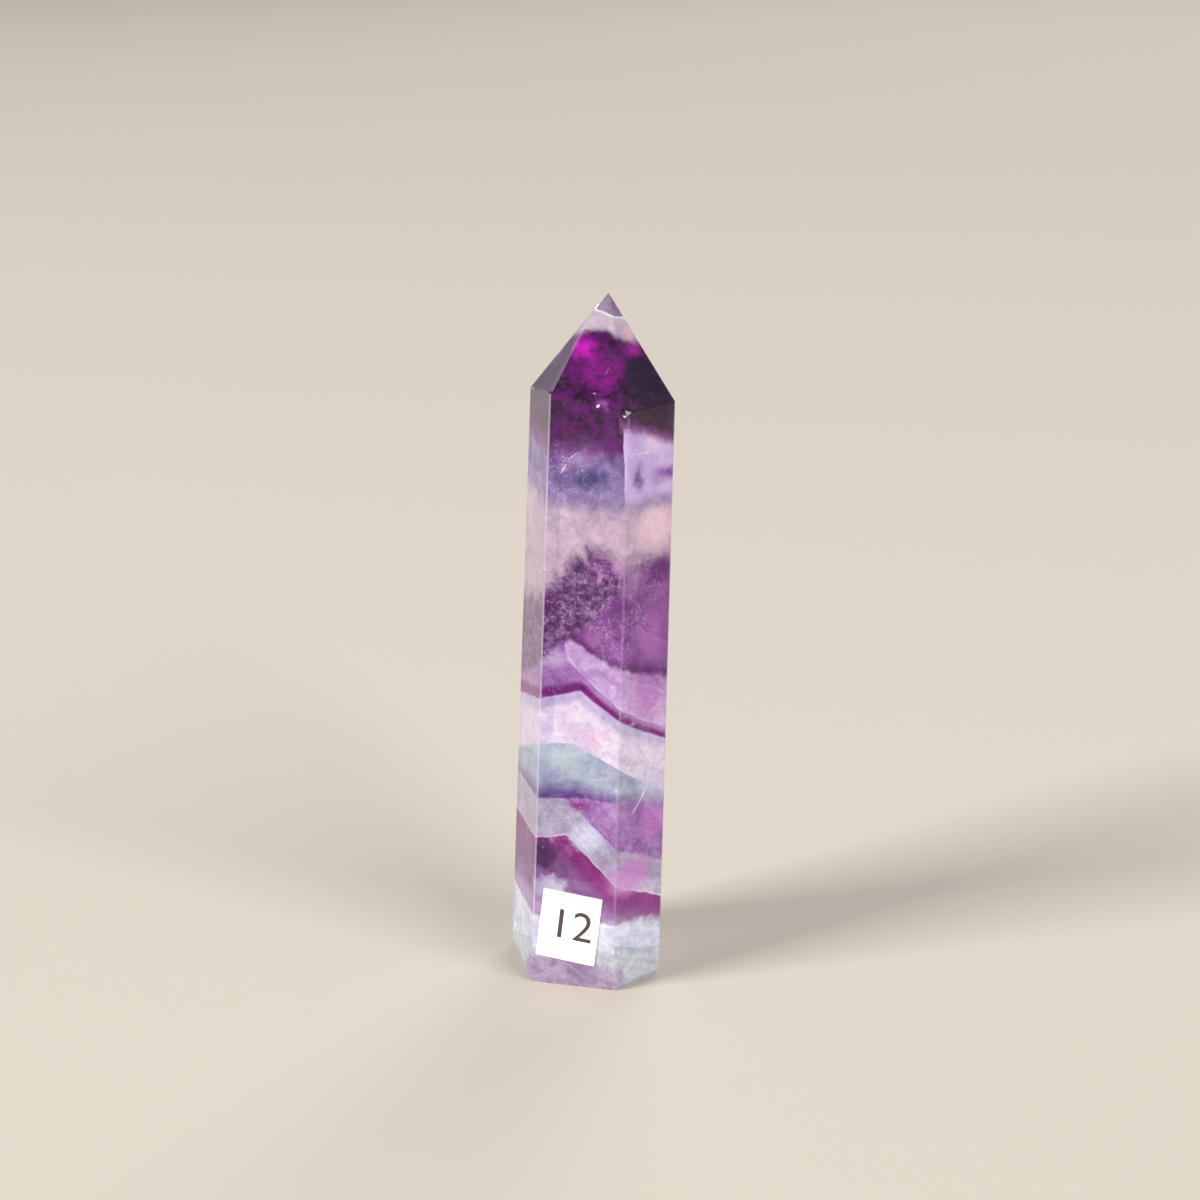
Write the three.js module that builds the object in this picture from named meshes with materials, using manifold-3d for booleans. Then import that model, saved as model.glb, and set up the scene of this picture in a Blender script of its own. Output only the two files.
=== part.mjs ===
// A polished fluorite point: a six-sided tower with a faceted tip and a bevelled foot, and the
// small paper tag stuck low on its front face. Millimetres and degrees, +Z up, front towards -Y.
import * as THREE from "three";
import { ConvexGeometry } from "three/addons/geometries/ConvexGeometry.js";
import { mergeVertices } from "three/addons/utils/BufferGeometryUtils.js";
import Module from "manifold-3d";

// Driving dimensions. Every facet is a flat plane: az is the compass direction that it faces,
// tilt is how far it looks upward, and the third number says how far out it lies.

// Side faces: reach is the distance from the middle of the foot, measured at the floor.
const SIDES = {
  front: { az: -90, tilt: 0.85, reach: 8.74 },
  right: { az: -31.2, tilt: -0.33, reach: 9.01 },
  backRight: { az: 27, tilt: -0.8, reach: 7.8 },
  back: { az: 90, tilt: 0.6, reach: 8.88 },
  backLeft: { az: 148.8, tilt: 1.85, reach: 9.88 },
  left: { az: -153, tilt: 1.83, reach: 8.56 },
};

// Tip facets: clear is how far each one passes outside the apex.
const APEX = [1.89, 0.54, 85.26];
const TIP = {
  front: { az: -82.2, tilt: 35.3, clear: 0 },
  right: { az: -31.2, tilt: 33.4, clear: 0 },
  backRight: { az: 29.5, tilt: 28.5, clear: 0 },
  back: { az: 88.6, tilt: 30.4, clear: 0 },
  backLeft: { az: -173.2, tilt: 38.1, clear: 0 },
  left: { az: -158.6, tilt: 33, clear: 0.64 },
};

// A growth step runs across the tip. The cap above it is a little smaller at the front and left.
const LEDGE = { az: -10.5, tilt: 70.5, clear: -2.03 };
const CAP_INSET = 0.12;
const CAP_LAP = 0.5; // how far the cap reaches down into the body

// Foot bevels: how high each one reaches up its face, and how far in its lower edge is set.
const FOOT_BEVELS = {
  front: { high: 3.74, inset: 0.75 },
  right: { high: 0.5, inset: 0.3 },
  backRight: { high: 0.8, inset: 0.35 },
  back: { high: 1.1, inset: 0.5 },
  backLeft: { high: 1.1, inset: 0.4 },
  left: { high: 1.1, inset: 0.24 },
};

// Two shallow flats: beside the front bevel at the lower right, and along the lower left edge.
const CORNER_FLAT = { az: -81.3, tilt: -5.7, reach: 8.7 };
const LEFT_FLAT = { az: 178, tilt: 1.7, reach: 10.43 };

// Widths of the fine flats along the edges.
const EDGE_BEVEL = 0.22;
const RIDGE_BEVEL = 0.18;
const LEFT_RIDGE_BEVEL = 0.42; // between the left and front facets of the tip
const CAP_BEVEL = 0.09;

// Chips are small scoops of radius r, drawn out lengthwise by long. Each one sits on a corner under
// the tip, on the edge between two sides at a height, on the line where a side meets its tip facet
// at a distance x from the middle, on a tip facet at x and a height, or on a foot bevel at x.
const CHIPS = [
  { corner: ["front", "left"], r: 0.4, long: 0.8 },
  { corner: ["backLeft", "left"], r: 0.42, long: 0.8 },
  { corner: ["front", "right"], r: 0.85, long: 0.9 },
  { corner: ["backRight", "right"], r: 0.3, long: 0.8 },
  { shoulder: "front", x: -0.2, r: 0.36, long: 0.8 },
  { shoulder: "front", x: 4, r: 0.42, long: 0.8 },
  { shoulder: "front", x: 5.8, r: 0.45, long: 0.8 },
  { facet: "front", x: 2.2, height: 74.9, r: 0.36, long: 0.8 },
  { facet: "front", x: 0, height: 81.1, r: 0.4, long: 0.8 },
  { edge: ["backLeft", "left"], height: 60.3, r: 0.24, long: 1.3 },
  { edge: ["front", "left"], height: 53.4, r: 0.3, long: 2 },
  { edge: ["front", "left"], height: 6.2, r: 0.26, long: 1.5 },
  { edge: ["front", "left"], height: 5.1, r: 0.26, long: 1.4 },
  { edge: ["front", "left"], height: 3.5, r: 0.26, long: 1.6 },
  { foot: "front", x: -3.85, r: 0.3, long: 0.8 },
  { foot: "front", x: 3.45, r: 0.26, long: 0.8 },
  { foot: "front", x: 4.9, r: 0.34, long: 0.8 },
];
const CHIP_PROUD = 0.25; // how far outside the stone a scoop is centred, as a share of its radius
const CHIP_TURN = 57; // each scoop is turned by this much more than the one before

// The tag was cut by hand, so its corners are given one by one as x and height on the front face.
const TAG_CORNERS = [
  [-3.49, 13.03],
  [3.84, 12.27],
  [2.85, 3.38],
  [-4.53, 4.23],
];
const TAG_THICK = 0.14;
const TAG_GAP = 0.04; // glue line between the paper and the stone

// Tolerances for meeting planes.
const NEARLY_PARALLEL = 1e-4;
const ON_PLANE = 1e-7;
const SAME_POINT = 2e-3;
const WELD = 1e-4;

const wasm = await Module();
wasm.setup();
const rad = THREE.MathUtils.degToRad;

function facing(az, tilt) {
  return new THREE.Vector3(
    Math.cos(rad(tilt)) * Math.cos(rad(az)),
    Math.cos(rad(tilt)) * Math.sin(rad(az)),
    Math.sin(rad(tilt)),
  );
}

// A plane is its outward unit normal n and its distance d from the origin.
function sidePlane({ az, tilt, reach }) {
  return { n: facing(az, tilt), d: reach * Math.cos(rad(tilt)) };
}

function tipPlane({ az, tilt, clear }) {
  const n = facing(az, tilt);
  return { n, d: n.dot(new THREE.Vector3(...APEX)) + clear };
}

// A foot bevel runs from a level line on its face to a level line set in at the floor.
function footPlane(name) {
  const { high, inset } = FOOT_BEVELS[name];
  const { az, tilt, reach } = SIDES[name];
  const lean = inset - high * Math.tan(rad(tilt));
  const undercut = THREE.MathUtils.radToDeg(Math.atan2(lean, high));
  return sidePlane({ az, tilt: -undercut, reach: reach - inset });
}

const level = (z) => ({ n: new THREE.Vector3(0, 0, 1), d: z });
const across = (x) => ({ n: new THREE.Vector3(1, 0, 0), d: x });
const moved = ({ n, d }, distance) => ({ n, d: d + distance });
const turned = ({ n, d }) => ({ n: n.clone().negate(), d: -d });

// The flat of the given width that takes off the edge between two planes.
function edgeFlat(a, b, width) {
  const sum = a.n.clone().add(b.n);
  const length = sum.length();
  const halfTurn = a.n.angleTo(b.n) / 2;
  return {
    n: sum.divideScalar(length),
    d: (a.d + b.d) / length - (width / 2) * Math.tan(halfTurn),
  };
}

// The point where three planes meet, or nothing when two of them run nearly parallel.
function meet(a, b, c) {
  const m = new THREE.Matrix3().set(...a.n.toArray(), ...b.n.toArray(), ...c.n.toArray());
  if (Math.abs(m.determinant()) < NEARLY_PARALLEL) return null;
  return new THREE.Vector3(a.d, b.d, c.d).applyMatrix3(m.invert());
}

// The convex solid behind all the planes is the hull of every corner that none of them cuts off.
function solidBehind(planes) {
  const corners = [];
  for (let i = 0; i < planes.length; i++)
    for (let j = i + 1; j < planes.length; j++)
      for (let k = j + 1; k < planes.length; k++) {
        const p = meet(planes[i], planes[j], planes[k]);
        if (!p || planes.some((q) => q.n.dot(p) > q.d + ON_PLANE)) continue;
        if (corners.some((q) => q.distanceTo(p) < SAME_POINT)) continue;
        corners.push(p);
      }
  return toSolid(new ConvexGeometry(corners));
}

function toSolid(geometry) {
  const bare = geometry.clone();
  bare.deleteAttribute("normal");
  bare.deleteAttribute("uv");
  const merged = mergeVertices(bare, WELD);
  return new wasm.Manifold(
    new wasm.Mesh({
      numProp: 3,
      vertProperties: new Float32Array(merged.attributes.position.array),
      triVerts: new Uint32Array(merged.index.array),
    }),
  );
}

function toGeometry(solid) {
  const mesh = solid.getMesh();
  const points = new THREE.BufferAttribute(new Float32Array(mesh.vertProperties), 3);
  const corners = new THREE.BufferAttribute(new Uint32Array(mesh.triVerts), 1);
  const welded = new THREE.BufferGeometry().setAttribute("position", points).setIndex(corners);
  const faceted = welded.toNonIndexed();
  faceted.computeVertexNormals();
  return faceted;
}

const names = Object.keys(SIDES);
const nextName = (name) => names[(names.indexOf(name) + 1) % names.length];
const side = Object.fromEntries(names.map((name) => [name, sidePlane(SIDES[name])]));
const tip = Object.fromEntries(names.map((name) => [name, tipPlane(TIP[name])]));
const foot = Object.fromEntries(names.map((name) => [name, footPlane(name)]));
const ledge = tipPlane(LEDGE);

// Sides, tip facets and foot bevels, with the fine flats along the edges between them.
function bodySolid() {
  const planes = [...Object.values(side), ...Object.values(tip), ...Object.values(foot)];
  planes.push(turned(level(0)), ledge, sidePlane(CORNER_FLAT), sidePlane(LEFT_FLAT));
  for (const name of names) {
    const next = nextName(name);
    const ridge = name === "left" ? LEFT_RIDGE_BEVEL : RIDGE_BEVEL;
    planes.push(edgeFlat(side[name], side[next], EDGE_BEVEL));
    planes.push(edgeFlat(side[name], tip[name], EDGE_BEVEL));
    planes.push(edgeFlat(tip[name], tip[next], ridge));
    planes.push(edgeFlat(side[name], foot[name], RIDGE_BEVEL));
  }
  planes.push(edgeFlat(tip.backLeft, tip.front, RIDGE_BEVEL));
  return solidBehind(planes);
}

// The end of the tip above the growth step. The left facet stops below it.
function capSolid() {
  const facets = [
    moved(tip.front, -CAP_INSET),
    tip.right,
    tip.backRight,
    tip.back,
    moved(tip.backLeft, -CAP_INSET),
  ];
  const flats = facets.map((facet, i) =>
    edgeFlat(facet, facets[(i + 1) % facets.length], CAP_BEVEL),
  );
  return solidBehind([...facets, ...flats, turned(moved(ledge, -CAP_LAP))]);
}

// The three planes that meet where a chip is, and how many of them it is pushed outside of.
function chipPlace({ corner, edge, shoulder, facet, foot: bevel, x, height }) {
  if (corner) return { planes: [side[corner[0]], side[corner[1]], tip[corner[0]]], outside: 2 };
  if (edge) return { planes: [side[edge[0]], side[edge[1]], level(height)], outside: 2 };
  if (shoulder) return { planes: [side[shoulder], tip[shoulder], across(x)], outside: 2 };
  if (facet) return { planes: [tip[facet], across(x), level(height)], outside: 1 };
  return { planes: [foot[bevel], across(x), level(0)], outside: 1 };
}

function chipSolid(chip, index) {
  const { planes, outside } = chipPlace(chip);
  const out = new THREE.Vector3();
  planes.slice(0, outside).forEach(({ n }) => out.add(n));
  const centre = meet(...planes).addScaledVector(out.normalize(), chip.r * CHIP_PROUD);
  const scoop = new THREE.IcosahedronGeometry(chip.r, 0);
  scoop.rotateX(rad(CHIP_TURN * index));
  scoop.scale(1, 1, chip.long);
  scoop.rotateZ(rad(CHIP_TURN * index));
  scoop.translate(...centre.toArray());
  return toSolid(scoop);
}

function crystalGeometry() {
  const whole = bodySolid().add(capSolid());
  return toGeometry(CHIPS.map(chipSolid).reduce((stone, chip) => stone.subtract(chip), whole));
}

// The outline is drawn with height upward, then stood up parallel to the front face.
function tagGeometry() {
  const outline = new THREE.Shape(TAG_CORNERS.map(([x, z]) => new THREE.Vector2(x, z)));
  const paper = new THREE.ExtrudeGeometry(outline, { depth: TAG_THICK, bevelEnabled: false });
  paper.translate(0, 0, TAG_GAP);
  return paper;
}

const polishedFluorite = new THREE.MeshStandardMaterial({
  name: "polished_fluorite",
  color: "#8a5a9a",
  roughness: 0.05,
  metalness: 0,
  transparent: true,
  opacity: 0.6,
});
const whitePaper = new THREE.MeshStandardMaterial({
  name: "white_paper",
  color: "#f3f1ee",
  roughness: 0.85,
  metalness: 0,
});

const group = new THREE.Group();
group.name = "fluorite_point";

const crystal = new THREE.Mesh(crystalGeometry(), polishedFluorite);
crystal.name = "crystal";
group.add(crystal);

const tag = new THREE.Mesh(tagGeometry(), whitePaper);
tag.name = "paper_tag";
tag.position.y = -SIDES.front.reach;
tag.rotation.x = rad(90 - SIDES.front.tilt);
group.add(tag);

export default group;
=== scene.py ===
import math

import bpy
from mathutils import Euler, Matrix, Vector


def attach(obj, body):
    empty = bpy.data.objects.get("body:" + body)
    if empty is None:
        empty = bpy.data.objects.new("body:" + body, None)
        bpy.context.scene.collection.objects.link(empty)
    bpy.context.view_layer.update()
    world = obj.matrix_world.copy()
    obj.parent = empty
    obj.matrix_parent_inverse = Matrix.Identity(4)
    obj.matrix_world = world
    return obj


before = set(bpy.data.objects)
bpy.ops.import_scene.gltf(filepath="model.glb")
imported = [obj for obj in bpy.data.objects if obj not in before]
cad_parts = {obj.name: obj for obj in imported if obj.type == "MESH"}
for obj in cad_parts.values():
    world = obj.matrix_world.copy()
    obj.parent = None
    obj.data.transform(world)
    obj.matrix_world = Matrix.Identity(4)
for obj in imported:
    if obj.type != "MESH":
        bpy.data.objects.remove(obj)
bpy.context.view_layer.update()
bpy.ops.object.select_all(action="DESELECT")


# The stone: one fluorite crystal, sawn and polished to a six-sided point. It is clear, and grew in
# layers of lilac, violet, blue-grey and plum that run through it as folded sheets. The layers are
# only colour inside the polished stone, so all of it is one surface.
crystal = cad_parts["crystal"]


def linear(colour):
    """An sRGB hex colour as the linear values that a shader works with."""
    parts = [int(colour[i : i + 2], 16) / 255 for i in (1, 3, 5)]
    return [p / 12.92 if p <= 0.04045 else ((p + 0.055) / 1.055) ** 2.4 for p in parts] + [1]


def node(tree, kind, inputs=(), out=0, **settings):
    """Adds a node with its settings, fills its inputs with values or links, and gives one output."""
    made = tree.nodes.new(kind)
    for name, value in settings.items():
        setattr(made, name, value)
    for socket, value in dict(inputs).items():
        if isinstance(value, bpy.types.NodeSocket):
            tree.links.new(value, made.inputs[socket])
        elif isinstance(value, str):
            made.inputs[socket].default_value = linear(value)
        else:
            made.inputs[socket].default_value = value
    return made.outputs[out]


# Polished fluorite bends light less than glass, so its shine is soft, and its colours look deep
# where the light goes through more of the stone.
fluorite = bpy.data.materials.new("polished_fluorite")
fluorite.use_nodes = True
stone = fluorite.node_tree
stone.nodes.clear()

# Places and widths in the stone are in millimetres.
MM_PER_METRE = 1000
metres = node(stone, "ShaderNodeTexCoord", out=3)
place = node(stone, "ShaderNodeVectorMath", {0: metres, 3: MM_PER_METRE}, operation="SCALE")


def stirred(width, reach, detail):
    """The place, pushed up to reach away by swirls of the given width."""
    swirl = node(
        stone,
        "ShaderNodeTexNoise",
        {"Vector": place, "Scale": 1 / width, "Detail": detail, "Roughness": 0.6},
        out=1,
    )
    push = node(stone, "ShaderNodeVectorMath", {0: swirl, 1: (0.5, 0.5, 0.5)}, operation="SUBTRACT")
    return node(
        stone,
        "ShaderNodeVectorMath",
        {0: push, 1: (2 * reach, 2 * reach, 2 * reach), 2: place},
        operation="MULTIPLY_ADD",
    )


crisp = stirred(3.0, 0.3, 3)
wavy = stirred(2.2, 0.8, 4)
ragged = stirred(1.6, 1.5, 6)

# Clouds of tiny bubbles and healed cracks mottle each layer in two shades.
CLOUD = 2.38
cloud = node(
    stone,
    "ShaderNodeTexNoise",
    {"Vector": place, "Scale": 1 / CLOUD, "Detail": 7, "Roughness": 0.7, "Distortion": 0.6},
)
cloud = node(
    stone,
    "ShaderNodeMapRange",
    {"Value": cloud, "From Min": 0.36, "From Max": 0.64},
    interpolation_type="SMOOTHSTEP",
)

# Tufts of needles. Real ones are some hundredths of a millimetre thick, too fine to show, so the
# tufts are drawn about 1 mm wide.
TUFT = 0.909
grain = node(
    stone,
    "ShaderNodeTexNoise",
    {"Vector": place, "Scale": 1 / TUFT, "Detail": 7, "Roughness": 0.78},
)
needles = node(
    stone,
    "ShaderNodeMapRange",
    {"Value": grain, "From Min": 0.4, "From Max": 0.66},
    interpolation_type="SMOOTHSTEP",
)


def mottled(shade, other=None, pattern=cloud):
    """The colour of a layer: one shade, or two that are mixed in a pattern."""
    if other is None:
        return shade
    return node(stone, "ShaderNodeMix", {0: pattern, 6: shade, 7: other}, out=2, data_type="RGBA")


FRONT = -8.3  # y of the front face, a third of the way up


def layer(peak, left, right, back=0, blur=0.15, where=crisp, fold="MAXIMUM"):
    """Covers all that lies on the tip's side of a growth sheet. The sheet is folded along a line
    through peak, x and z on the front face, and falls by left and right for each millimetre out
    from it. It also falls by back for each millimetre further in. With a fold of MINIMUM it covers
    only what lies above both wings of the sheet."""
    away = node(
        stone,
        "ShaderNodeVectorMath",
        {0: where, 1: (peak[0], FRONT, peak[1])},
        operation="SUBTRACT",
    )
    one = node(
        stone, "ShaderNodeVectorMath", {0: away, 1: (-left, back, 1)}, out=1, operation="DOT_PRODUCT"
    )
    two = node(
        stone, "ShaderNodeVectorMath", {0: away, 1: (right, back, 1)}, out=1, operation="DOT_PRODUCT"
    )
    above = node(stone, "ShaderNodeMath", {0: one, 1: two}, operation=fold)
    return node(
        stone,
        "ShaderNodeMapRange",
        {"Value": above, "From Min": -blur, "From Max": blur},
        interpolation_type="SMOOTHSTEP",
    )


def patch(middle, size, edge=0.5, where=ragged, strength=1):
    """Covers an oval place round middle. Edge is the share of it that fades out."""
    away = node(stone, "ShaderNodeVectorMath", {0: where, 1: middle}, operation="SUBTRACT")
    share = node(stone, "ShaderNodeVectorMath", {0: away, 1: size}, operation="DIVIDE")
    out = node(stone, "ShaderNodeVectorMath", {0: share}, out=1, operation="LENGTH")
    return node(
        stone,
        "ShaderNodeMapRange",
        {"Value": out, "From Min": 1, "From Max": 1 - edge, "To Max": strength},
        interpolation_type="SMOOTHSTEP",
    )


SUDDENNESS = 4  # the higher, the shorter the fade at the ends of a crack


def streak(start, end, width, where=crisp, strength=0.8):
    """Covers a crack seen edge on: a thin line from start to end that fades at both ends."""
    middle = [(a + b) / 2 for a, b in zip(start, end)]
    run = [b - a for a, b in zip(start, end)]
    length = math.hypot(*run)
    along = [r / length for r in run]
    away = node(stone, "ShaderNodeVectorMath", {0: where, 1: middle}, operation="SUBTRACT")
    ahead = node(stone, "ShaderNodeVectorMath", {0: away, 1: along}, out=1, operation="DOT_PRODUCT")
    aside = node(stone, "ShaderNodeVectorMath", {0: away, 1: along}, operation="CROSS_PRODUCT")
    aside = node(stone, "ShaderNodeVectorMath", {0: aside}, out=1, operation="LENGTH")
    ahead = node(stone, "ShaderNodeMath", {0: ahead, 1: length / 2}, operation="DIVIDE")
    aside = node(stone, "ShaderNodeMath", {0: aside, 1: width}, operation="DIVIDE")
    ahead = node(stone, "ShaderNodeMath", {0: ahead, 1: SUDDENNESS}, operation="POWER")
    out = node(stone, "ShaderNodeMath", {0: ahead, 1: aside}, operation="ADD")
    return node(
        stone,
        "ShaderNodeMapRange",
        {"Value": out, "From Min": 1, "From Max": 0.3, "To Max": strength},
    )


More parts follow.
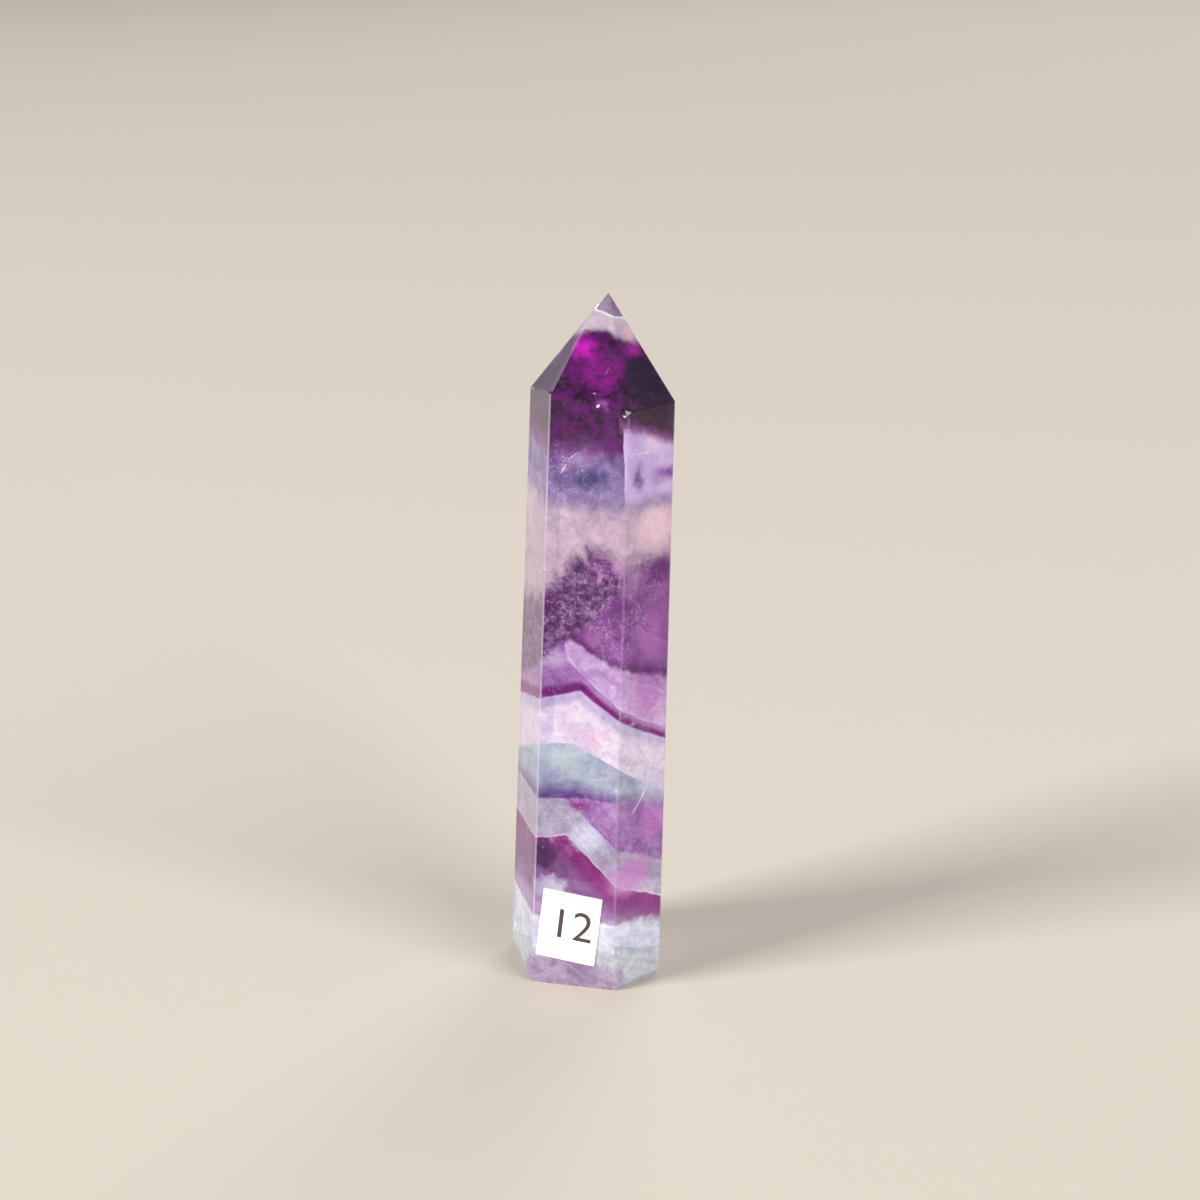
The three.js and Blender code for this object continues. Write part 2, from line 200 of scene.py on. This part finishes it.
# The colours of the stone from the foot to the tip. Each row covers part of the rows before it.
LAYERS = [
    # The clear pale foot, with lilac near the floor and a thin white line on top.
    (patch, ["#e0cbe8", "#b896c6"], dict(middle=(-1, -8.4, 1.2), size=(9, 4, 3.6), edge=0.3)),
    (layer, ["#f7f7f7"], dict(peak=(0, 8.9), left=0, right=0.05, blur=0.1, where=wavy)),
    (layer, ["#a97fb8", "#c5a3d0"], dict(peak=(0, 9.2), left=0, right=0.05, blur=0.3, where=wavy)),
    # The plum and magenta bands above it.
    (
        layer,
        ["#885c94", "#673873"],
        dict(peak=(-1.4, 12.4), left=0.1, right=0.4, back=0.1, blur=1.2, where=ragged),
    ),
    (patch, ["#bfb5d0"], dict(middle=(-2.8, -8.5, 13.2), size=(3, 2.5, 1.9), edge=0.6)),
    (
        layer,
        ["#78146a", "#8e2c80"],
        dict(peak=(-1.6, 17.7), left=0.3, right=0.95, back=-0.15, blur=1.3, where=wavy),
    ),
    (patch, ["#4a1b51"], dict(middle=(-3.6, -8.4, 17.6), size=(2.6, 3, 2.3))),
    # The grey fold, which drops steeply to the right, with pale blue and pink in it.
    (layer, ["#d9c2de"], dict(peak=(-0.79, 20.25), left=0.2, right=0.98, back=-0.06, blur=0.1)),
    (
        layer,
        ["#a49cb0", "#c6c4d8"],
        dict(peak=(-0.79, 20.5), left=0.2, right=0.98, back=-0.06, blur=0.1),
    ),
    (patch, ["#dfe5f9"], dict(middle=(1.9, -8.4, 20.2), size=(2.6, 2, 2.4), edge=0.6, where=wavy)),
    (patch, ["#cc90d0"], dict(middle=(7, -6.5, 15), size=(4, 5, 3.2), edge=0.6, where=wavy)),
    # The violet band, and the dark line above it.
    (layer, ["#8f58a4", "#b287c4"], dict(peak=(-0.69, 24.95), left=-0.05, right=0.98, back=-0.085)),
    (patch, ["#8a2088"], dict(middle=(0.9, -8.4, 24.1), size=(2.4, 2, 1.1), edge=0.9, where=wavy)),
    (patch, ["#bc74c7"], dict(middle=(9, -3, 21), size=(3, 4, 3), edge=0.8, where=wavy)),
    (layer, ["#4e2a7a", "#68509a"], dict(peak=(0.67, 25.2), left=0.09, right=0.03, blur=0.2)),
    # The blue-grey band.
    (
        layer,
        ["#96a0bc", "#b2c2cc"],
        dict(peak=(0.5, 27.0), left=0.1, right=0.3, back=0.1, blur=1.4, where=wavy),
    ),
    (patch, ["#b6cacd"], dict(middle=(-2, -8.3, 30.2), size=(4.5, 3, 2), edge=0.8, where=wavy)),
    (patch, ["#c7cdf2"], dict(middle=(8.6, -3.6, 26.6), size=(2.4, 3.4, 2.2), edge=0.7, where=wavy)),
    # The pale lilac band.
    (
        layer,
        ["#ece2ee", "#d2c2de"],
        dict(peak=(0.01, 32.2), left=0.12, right=0.544, back=0.37, blur=0.12),
    ),
    (patch, ["#f2c4da"], dict(middle=(2.6, -8.3, 33.0), size=(2.8, 2, 1.4), edge=0.9, strength=0.5)),
    # The thin magenta line between two violet ones.
    (
        layer,
        ["#b0a4ce", "#c6bada"],
        dict(peak=(0.8, 37.5), left=0.31, right=0.75, back=0.12, blur=0.6, where=wavy),
    ),
    (layer, ["#580058", "#79006f"], dict(peak=(0.86, 38.9), left=0.3, right=0.75, back=0.12)),
    (
        layer,
        ["#8f54a2", "#ab80bd"],
        dict(peak=(0.82, 40.1), left=0.27, right=0.8, back=0.12, blur=0.35),
    ),
    (patch, ["#c09fcb"], dict(middle=(-3, -8.3, 42.6), size=(3.4, 3, 1.5), edge=0.7, where=wavy)),
    # The pale slab on the right.
    (
        layer,
        ["#d7bae2", "#bb97cc"],
        dict(peak=(-0.8, 42.4), left=-8, right=0.857, back=0.1, blur=0.12, fold="MINIMUM"),
    ),
    (patch, ["#b275bd"], dict(middle=(8.6, -4.5, 38.5), size=(3.4, 4.5, 6), edge=0.7, where=wavy)),
    # The plum mass, a cloud of fine needles with brighter places in it.
    (
        layer,
        ["#4a0b56", "#611a6b"],
        dict(peak=(-0.5, 45.0), left=0.3, right=0.5, back=0.1, blur=0.4, where=wavy),
    ),
    (
        layer,
        ["#6a2c78", "#91509c"],
        dict(peak=(-0.5, 45.9), left=0.3, right=0.6, back=-0.2, blur=0.8, where=wavy),
    ),
    (patch, ["#b66cbc", "#9a52a4"], dict(middle=(8.6, -3.8, 45.8), size=(3.8, 5, 6), edge=1)),
    (
        layer,
        ["#431650", "#966a9e", needles],
        dict(peak=(-0.8, 45.2), left=0.97, right=-0.97, blur=0.6, where=wavy),
    ),
    (patch, ["#5a1664", "#a874b0", needles], dict(middle=(3.2, -8, 54), size=(3.6, 2.5, 3), edge=0.8)),
    (patch, ["#5a0f64"], dict(middle=(-2.6, -8, 49.6), size=(2.6, 2.5, 2), edge=0.8)),
    (patch, ["#b488b8", "#96669e"], dict(middle=(6.6, -6.6, 52.8), size=(2.2, 3, 3.4), edge=0.9)),
    (patch, ["#61136b"], dict(middle=(9.4, -3.2, 53.4), size=(2.2, 3.2, 2.4), edge=0.8)),
    (patch, ["#d493c8"], dict(middle=(5.4, -8, 54.6), size=(1.7, 1.5, 1.4), edge=0.9, strength=0.8)),
    # The pale pink zone.
    (
        layer,
        ["#bcaabe", "#dcc0d0"],
        dict(peak=(1.6, 57.0), left=1.2, right=0.5, back=-0.3, blur=1.5, where=ragged),
    ),
    (patch, ["#fbd8e4"], dict(middle=(8.8, -3.8, 58.6), size=(4.2, 5, 4), edge=0.7, where=wavy)),
    # The blue-violet haze, which turns lilac right of the front ridge.
    (layer, ["#6c5894", "#9c8cbc"], dict(peak=(0, 61.4), left=0, right=0, blur=1.6, where=ragged)),
    (patch, ["#7c4694", "#a488bc"], dict(middle=(-1.6, -7.8, 66.4), size=(3.6, 2.4, 1.8), edge=0.9)),
    (patch, ["#33336c"], dict(middle=(1.9, -8, 64.7), size=(2.8, 2, 1.9), edge=0.8)),
    (layer, ["#4e1c5a", "#8a4a98"], dict(peak=(0, 67.4), left=0, right=0, blur=0.9, where=ragged)),
    (layer, ["#600c68", "#140018"], dict(peak=(0, 68.8), left=0, right=0, blur=1.4, where=ragged)),
    (layer, ["#dcc0ec", "#c8b0e4"], dict(peak=(6.0, 62), left=-40, right=0, blur=0.8, fold="MINIMUM")),
    (patch, ["#f0d4ea"], dict(middle=(8.6, -3, 69), size=(3, 4, 2.4), edge=0.8, where=wavy)),
    (patch, ["#4c3c80"], dict(middle=(7.2, -6, 64.8), size=(1.4, 2, 2.3), edge=1)),
    (patch, ["#853ea5"], dict(middle=(10, -2, 64.6), size=(3.2, 4.5, 1.5), edge=1, where=wavy)),
    # The dark top, with magenta places where light comes through.
    (
        layer,
        ["#8a4a90"],
        dict(peak=(5.2, 71.2), left=-40, right=0.2, back=0.3, blur=0.8, where=wavy, fold="MINIMUM"),
    ),
    (
        layer,
        ["#2a1030", "#44203e"],
        dict(peak=(5.2, 72.1), left=-40, right=0.2, back=0.3, blur=0.7, where=wavy, fold="MINIMUM"),
    ),
    (layer, ["#5c0862", "#16011c"], dict(peak=(0, 74.4), left=0, right=0, blur=1.2, where=ragged)),
    (patch, ["#a858ac"], dict(middle=(3.4, -7.6, 73.6), size=(1.6, 1.4, 0.8), edge=0.9, strength=0.6)),
    (patch, ["#94148c", "#520856"], dict(middle=(2.4, -5.2, 77.8), size=(4.6, 4, 4), edge=0.8)),
    (patch, ["#d408c0"], dict(middle=(0.0, -4.0, 79.4), size=(2.3, 2.6, 2.0), edge=0.9)),
    (patch, ["#200628"], dict(middle=(8, -3.5, 75.6), size=(4.2, 5, 4.4), edge=0.4, where=wavy)),
    (patch, ["#b0109c"], dict(middle=(5.6, -1.8, 79.2), size=(1.7, 2, 1.6), edge=0.8, where=wavy)),
    # The clear tip and its growth step.
    (
        layer,
        ["#c6b8c6", "#dac8d4"],
        dict(peak=(1.7, 82.1), left=0.3, right=0.4, back=0.1, blur=0.5, where=wavy),
    ),
    (patch, ["#f6c4d6"], dict(middle=(4.8, -0.6, 80.9), size=(1.6, 2, 1), edge=0.8, where=wavy)),
    (patch, ["#241420"], dict(middle=(-6, 0.4, 74.8), size=(2.6, 3, 2), edge=0.6, where=wavy)),
    (patch, ["#e8a8d0", "#a878a0"], dict(middle=(-4.1, 1.1, 78.4), size=(2.6, 2.4, 2.4), edge=0.95)),
    (layer, ["#fbf6fc"], dict(peak=(1.9, 82.85), left=-0.26, right=0.26, blur=0.06)),
    (layer, ["#a48ea4", "#8c6c8c"], dict(peak=(1.9, 83.05), left=-0.26, right=0.26, blur=0.06)),
    # Cracks.
    (
        streak,
        ["#dfd2d6"],
        dict(start=(-0.9, -7.9, 59.6), end=(1.7, -7.9, 54.2), width=0.6, where=wavy, strength=0.55),
    ),
    (streak, ["#e9e2f2"], dict(start=(-1.6, -7.8, 65.2), end=(-1.0, -7.8, 66.4), width=0.14)),
    (streak, ["#d9cfe8"], dict(start=(-0.9, -7.8, 66.7), end=(0.5, -7.8, 68.0), width=0.1)),
    (streak, ["#efe6f4"], dict(start=(6.9, -6.6, 67.7), end=(8.4, -4.2, 67.7), width=0.16)),
    (streak, ["#eee8f8"], dict(start=(8.6, -3.6, 26.4), end=(6.8, -6.4, 22.6), width=0.2)),
    (streak, ["#f4f0fa"], dict(start=(5.3, -8.4, 26.2), end=(5.4, -8.4, 27.2), width=0.12)),
    (streak, ["#b04ca8"], dict(start=(-1.6, -6, 77.4), end=(-0.6, -5.4, 78.6), width=0.12)),
    (streak, ["#8c3c8a"], dict(start=(-1.9, -6.6, 75.2), end=(-1.7, -6, 77.6), width=0.12)),
    (streak, ["#a45aa2"], dict(start=(2.4, -6, 75.4), end=(3.6, -4.6, 78), width=0.12)),
    (streak, ["#e8dcee"], dict(start=(-0.9, -8.1, 43.2), end=(0.7, -8.1, 41.2), width=0.16)),
    (streak, ["#f0e4f0"], dict(start=(2.6, -8.2, 33.2), end=(5.6, -8.2, 31), width=0.14, where=wavy)),
    (streak, ["#f0e4f0"], dict(start=(2.4, -8.2, 31.6), end=(4.6, -8.2, 32), width=0.12, where=wavy)),
    (
        streak,
        ["#f2ecf6"],
        dict(start=(-0.6, -8.2, 37), end=(1.6, -8.2, 34.4), width=0.24, where=ragged),
    ),
    (streak, ["#7a5a86"], dict(start=(-4.2, -8.1, 45.8), end=(-2, -8.1, 45.7), width=0.1)),
    (streak, ["#6d4a7a"], dict(start=(-4.2, -8.1, 43.1), end=(-2, -8.1, 43.1), width=0.1)),
]

# Painted highlights: white points painted where small chips and pits catch the light.
PAINTED_HIGHLIGHTS = (
    (5.9, -7.7, 72.5),
    (2.18, -6.97, 74.7),
    (2.8, -7.6, 73.4),
    (-1.8, -2.6, 81.0),
    (-5.6, -3.6, 73.4),
    (-7.3, 0.4, 73.4),
    (-3.7, -7.9, 53.6),
)
PAINTED_HIGHLIGHT_SIZE = (0.3, 0.4, 0.22)
for highlight_spot in PAINTED_HIGHLIGHTS:
    LAYERS.append((patch, ["#ffffff"], dict(middle=highlight_spot, size=PAINTED_HIGHLIGHT_SIZE, where=wavy)))

body = mottled("#f3f7f7", "#d1d8f2")
for form, shades, measures in LAYERS:
    cover = form(**measures)
    body = node(
        stone, "ShaderNodeMix", {0: cover, 6: body, 7: mottled(*shades)}, out=2, data_type="RGBA"
    )

# Growth lines: faint thin sheets, folded as the layers are, with a fine speckle between them. The
# lines fade out in the cloudy upper half.
GROWTH_LINE = 0.625
SPECKLE = 0.833
FALLS_LEFT = 0.2
FALLS_RIGHT = 0.8
LINES_FULL = 44
LINES_GONE = 52
wing_left = node(
    stone, "ShaderNodeVectorMath", {0: crisp, 1: (-FALLS_LEFT, 0, 1)}, out=1, operation="DOT_PRODUCT"
)
wing_right = node(
    stone, "ShaderNodeVectorMath", {0: crisp, 1: (FALLS_RIGHT, 0, 1)}, out=1, operation="DOT_PRODUCT"
)
fold = node(stone, "ShaderNodeMath", {0: wing_left, 1: wing_right}, operation="MAXIMUM")
lines = node(
    stone,
    "ShaderNodeTexNoise",
    {"W": fold, "Scale": 1 / GROWTH_LINE, "Detail": 3, "Roughness": 0.7},
    noise_dimensions="1D",
)
height = node(stone, "ShaderNodeSeparateXYZ", {0: wavy}, out=2)
contrast = node(
    stone,
    "ShaderNodeMapRange",
    {"Value": height, "From Min": LINES_GONE, "From Max": LINES_FULL, "To Max": 0.3},
)
lines = node(stone, "ShaderNodeMath", {0: lines, 1: 0.5}, operation="SUBTRACT")
tone = node(
    stone,
    "ShaderNodeTexNoise",
    {"Vector": place, "Scale": 1 / SPECKLE, "Detail": 6, "Roughness": 0.8, "Distortion": 0.5},
)
tone = node(
    stone,
    "ShaderNodeMapRange",
    {"Value": tone, "From Min": 0.3, "From Max": 0.7, "To Min": 0.82, "To Max": 1.16},
)
lines = node(stone, "ShaderNodeMath", {0: lines, 1: contrast, 2: tone}, operation="MULTIPLY_ADD")
body = node(
    stone,
    "ShaderNodeMix",
    {0: 1.0, 6: body, 7: lines},
    out=2,
    data_type="RGBA",
    blend_type="MULTIPLY",
)

# Veils: healed cracks that wander through the stone as thin pale threads, in loose swarms that
# stop under the tip.
SWARM = 6.25
THREAD = 2
VEILS_FULL = 69
VEILS_GONE = 73
swarm = node(stone, "ShaderNodeTexNoise", {"Vector": place, "Scale": 1 / SWARM, "Detail": 1})
swarm = node(
    stone,
    "ShaderNodeMapRange",
    {"Value": swarm, "From Min": 0.47, "From Max": 0.62},
    interpolation_type="SMOOTHSTEP",
)
under_tip = node(
    stone, "ShaderNodeMapRange", {"Value": height, "From Min": VEILS_GONE, "From Max": VEILS_FULL}
)
swarm = node(stone, "ShaderNodeMath", {0: swarm, 1: under_tip}, operation="MULTIPLY")
thread = node(
    stone,
    "ShaderNodeTexNoise",
    {"Vector": place, "Scale": 1 / THREAD, "Detail": 4, "Roughness": 0.55, "Distortion": 1.2},
)
thread = node(stone, "ShaderNodeMath", {0: thread, 1: 0.5}, operation="SUBTRACT")
thread = node(stone, "ShaderNodeMath", {0: thread}, operation="ABSOLUTE")
thread = node(
    stone,
    "ShaderNodeMapRange",
    {"Value": thread, "From Min": 0.014, "From Max": 0.0, "To Max": 0.35},
    interpolation_type="SMOOTHSTEP",
)
veils = node(stone, "ShaderNodeMath", {0: thread, 1: swarm}, operation="MULTIPLY")

# Painted glints of tiny bubbles: pin-point white spots, one to a millimetre and 0.1 to 0.2 mm across.
BUBBLE_GAP = 0.909
bubble_glints = node(stone, "ShaderNodeTexVoronoi", {"Vector": place, "Scale": 1 / BUBBLE_GAP})
bubble_glints = node(
    stone,
    "ShaderNodeMapRange",
    {"Value": bubble_glints, "From Min": 0.1, "From Max": 0.05, "To Max": 0.8},
)
bubble_glints = node(stone, "ShaderNodeMath", {0: bubble_glints, 1: swarm}, operation="MULTIPLY")

# Frost: pale flecks and tufts, thickest in the grey fold and in the plum cloud. Each zone gives
# the heights where it starts, is full, begins to fade and ends.
FLECK_GAP = 0.588
FROST_ZONES = ((16, 20, 24, 27), (44, 48, 53, 56))
FROST_ELSEWHERE = 0.12
fleck = node(stone, "ShaderNodeTexVoronoi", {"Vector": crisp, "Scale": 1 / FLECK_GAP})
fleck = node(
    stone,
    "ShaderNodeMapRange",
    {"Value": fleck, "From Min": 0.3, "From Max": 0.1, "To Max": 0.6},
    interpolation_type="SMOOTHSTEP",
)
tuft = node(
    stone,
    "ShaderNodeMapRange",
    {"Value": grain, "From Min": 0.5, "From Max": 0.68, "To Max": 0.75},
    interpolation_type="SMOOTHSTEP",
)
frost = FROST_ELSEWHERE
for starts, full, fades, ends in FROST_ZONES:
    rise = node(
        stone,
        "ShaderNodeMapRange",
        {"Value": height, "From Min": starts, "From Max": full},
        interpolation_type="SMOOTHSTEP",
    )
    fall = node(
        stone,
        "ShaderNodeMapRange",
        {"Value": height, "From Min": ends, "From Max": fades},
        interpolation_type="SMOOTHSTEP",
    )
    frost = node(stone, "ShaderNodeMath", {0: rise, 1: fall, 2: frost}, operation="MULTIPLY_ADD")
pale_grain = node(stone, "ShaderNodeMath", {0: fleck, 1: tuft}, operation="MAXIMUM")
frost = node(stone, "ShaderNodeMath", {0: frost, 1: pale_grain}, operation="MULTIPLY")
frost = node(stone, "ShaderNodeMath", {0: frost, 1: cloud}, operation="MULTIPLY")

# Ground edges: the narrow flats along the edges are finely ground and not polished, so they look
# pale and a little dull. Each row gives where a flat faces, its tilt upward and how pale it is.
GROUND_EDGES = (
    (-121.5, 2, 0.5),
    (-60.5, 0, 0.16),
    (-2, -1, 0.2),
    (58.5, 0, 0.1),
    (119.5, 1, 0.1),
    (178, 2, 0.1),
    (-121, 41, 0.2),
)
WITHIN = math.cos(math.radians(4))  # how near to that direction the flat's own one lies
GROUND_DEPTH = 0.04  # where the pale skin starts, under the flat
GROUND_FULL = 0.01  # where it is full, under the flat
ground = 0.0
for compass, tilt, pale in GROUND_EDGES:
    level = math.cos(math.radians(tilt))
    facing = Vector(
        (
            level * math.cos(math.radians(compass)),
            level * math.sin(math.radians(compass)),
            math.sin(math.radians(tilt)),
        )
    )
    flats = [face for face in crystal.data.polygons if face.normal.dot(facing) > WITHIN]
    flat = max(flats, key=lambda face: face.area)
    corner = crystal.data.vertices[flat.vertices[0]].co
    reach = MM_PER_METRE * flat.normal.dot(corner)
    out = node(
        stone, "ShaderNodeVectorMath", {0: place, 1: flat.normal}, out=1, operation="DOT_PRODUCT"
    )
    near = node(
        stone,
        "ShaderNodeMapRange",
        {
            "Value": out,
            "From Min": reach - GROUND_DEPTH,
            "From Max": reach - GROUND_FULL,
            "To Max": pale,
        },
    )
    ground = node(stone, "ShaderNodeMath", {0: ground, 1: near}, operation="MAXIMUM")

# The pale covers, the painted glints of bubbles among them.
PALE_COVERS = (
    ("#f2e8f4", veils),
    ("#fbf6fc", bubble_glints),
    ("#c6a8ce", frost),
    ("#e2d8ea", ground),
)
for colour, cover in PALE_COVERS:
    body = node(stone, "ShaderNodeMix", {0: cover, 6: body, 7: colour}, out=2, data_type="RGBA")

POLISHED = 0.06
GROUND = 0.35
FLUORITE_IOR = 1.434
roughness = node(stone, "ShaderNodeMapRange", {"Value": ground, "To Min": POLISHED, "To Max": GROUND})
surface = node(
    stone,
    "ShaderNodeBsdfPrincipled",
    {
        "Base Color": body,
        "Roughness": roughness,
        "IOR": FLUORITE_IOR,
        "Transmission Weight": 0.6,
    },
)
depth = node(stone, "ShaderNodeVolumeAbsorption", {"Color": "#e6d2ea", "Density": 25})
output = stone.nodes.new("ShaderNodeOutputMaterial")
stone.links.new(surface, output.inputs["Surface"])
stone.links.new(depth, output.inputs["Volume"])

crystal.data.materials.clear()
crystal.data.materials.append(fluorite)


# The tag: a slip of plain white paper, cut by hand and stuck low on the front face with a thin
# line of glue. Its four corners are uneven.
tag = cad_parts["paper_tag"]

# Uncoated paper has no sheen, and fibres that leave it very slightly cloudy. They are drawn 0.4 mm
# wide, coarser than they are, so that they show.
FIBRE = 0.0004  # metres
paper = bpy.data.materials.new("white_paper")
paper.use_nodes = True
slip = paper.node_tree
slip.nodes.clear()
paper_place = node(slip, "ShaderNodeTexCoord", out=3)
fibre = node(slip, "ShaderNodeTexNoise", {"Vector": paper_place, "Scale": 1 / FIBRE, "Detail": 3})
paper_colour = node(
    slip, "ShaderNodeMix", {0: fibre, 6: "#f8f7f6", 7: "#efedea"}, out=2, data_type="RGBA"
)
paper_surface = node(
    slip, "ShaderNodeBsdfPrincipled", {"Base Color": paper_colour, "Roughness": 0.85}
)
paper_output = slip.nodes.new("ShaderNodeOutputMaterial")
slip.links.new(paper_surface, paper_output.inputs["Surface"])
tag.data.materials.clear()
tag.data.materials.append(paper)


# The number: a plain 12 in thin strokes of dark ink, printed on the paper before it was cut, and
# so turned a little as the tag is.
# Lengths and places from here on are in metres.
TYPE_SIZE = 0.0056
STROKE_THINNED = 0.00001
INK_THICK = 0.000012
NUMBER_PLACE = (0.0, -0.00882, 0.0083)
FACE_LEAN = 0.85  # degrees that the front face leans back
TAG_TURN = -6.3  # degrees, clockwise
bpy.ops.object.text_add(location=(0, 0, 0))
number = bpy.context.object
number.name = "tag_number"
number.data.body = "12"
number.data.size = TYPE_SIZE
number.data.offset = -STROKE_THINNED
number.data.extrude = INK_THICK
number.data.align_x = "CENTER"
number.data.align_y = "CENTER"
bpy.ops.object.convert(target="MESH")
upright = Euler((math.radians(90 - FACE_LEAN), 0, 0)).to_matrix()
tag_turn = upright @ Matrix.Rotation(math.radians(TAG_TURN), 3, "Z")
number.matrix_world = Matrix.Translation(NUMBER_PLACE) @ tag_turn.to_4x4()
bpy.ops.object.transform_apply(location=True, rotation=True, scale=True)

# Ink soaks into paper unevenly, so it is matt, and brown in places where it is thin.
INK_GRAIN = 0.0002
ink = bpy.data.materials.new("printed_ink")
ink.use_nodes = True
print_coat = ink.node_tree
print_coat.nodes.clear()
ink_place = node(print_coat, "ShaderNodeTexCoord", out=3)
soaked = node(
    print_coat, "ShaderNodeTexNoise", {"Vector": ink_place, "Scale": 1 / INK_GRAIN, "Detail": 2}
)
ink_colour = node(
    print_coat, "ShaderNodeMix", {0: soaked, 6: "#30221f", 7: "#463634"}, out=2, data_type="RGBA"
)
ink_surface = node(
    print_coat, "ShaderNodeBsdfPrincipled", {"Base Color": ink_colour, "Roughness": 0.6}
)
ink_output = print_coat.nodes.new("ShaderNodeOutputMaterial")
print_coat.links.new(ink_surface, ink_output.inputs["Surface"])
number.data.materials.append(ink)
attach(number, "root")


# The stage: a pale matt table top, soft light from a window-like panel on the left, weaker ones on
# the right and behind, and a camera a little above the tip that looks down at the front right edge.
TABLE_WIDTH = 40  # so wide that its edge is out of sight
bpy.ops.mesh.primitive_plane_add(size=TABLE_WIDTH, location=(0, 0, 0))
floor = bpy.context.object
floor.name = "floor"
table_top = bpy.data.materials.new("pale_table_top")
table_top.use_nodes = True
table_coat = table_top.node_tree.nodes["Principled BSDF"]
table_coat.inputs["Base Color"].default_value = linear("#a8a095")
table_coat.inputs["Roughness"].default_value = 0.95
table_coat.inputs["Specular IOR Level"].default_value = 0.1
floor.data.materials.append(table_top)

studio = bpy.data.worlds.new("studio")
bpy.context.scene.world = studio
studio.use_nodes = True
studio.node_tree.nodes["Background"].inputs["Color"].default_value = linear("#d9dce2")
studio.node_tree.nodes["Background"].inputs["Strength"].default_value = 0.6

# A large panel gives soft shadows and a broad, quiet shine on the flat faces.
STONE_MIDDLE = Vector((0, 0, 0.04))


def soft_panel(name, location, size, power):
    """A square light panel that faces the middle of the stone."""
    bpy.ops.object.light_add(type="AREA", location=location)
    panel = bpy.context.object
    panel.name = name
    panel.data.shape = "SQUARE"
    panel.data.size = size
    panel.data.energy = power
    panel.rotation_euler = (panel.location - STONE_MIDDLE).to_track_quat("Z", "Y").to_euler()


soft_panel("key_panel", (-2.1, -1.7, 1.43), 1.0, 155)
soft_panel("fill_panel", (2.1, -1.35, 1.2), 1.8, 104)
soft_panel("back_panel", (0.3, 2.4, 1.8), 1.5, 40)

CAMERA_PLACE = (0.06512, -0.27008, 0.13366)
LOOKS_DOWN = 17.2  # degrees, as are the next two
FROM_THE_RIGHT = 13.3
ROLL = 0.35
bpy.ops.object.camera_add(location=CAMERA_PLACE)
camera = bpy.context.object
camera.data.sensor_width = 36
camera.data.lens = 72
camera.data.clip_start = 0.01
camera.data.clip_end = 50
looking = Euler((math.radians(90 - LOOKS_DOWN), 0, math.radians(FROM_THE_RIGHT))).to_matrix()
camera.rotation_euler = (looking @ Matrix.Rotation(math.radians(ROLL), 3, "Z")).to_euler()
bpy.context.scene.camera = camera
bpy.context.scene.view_settings.view_transform = "Standard"
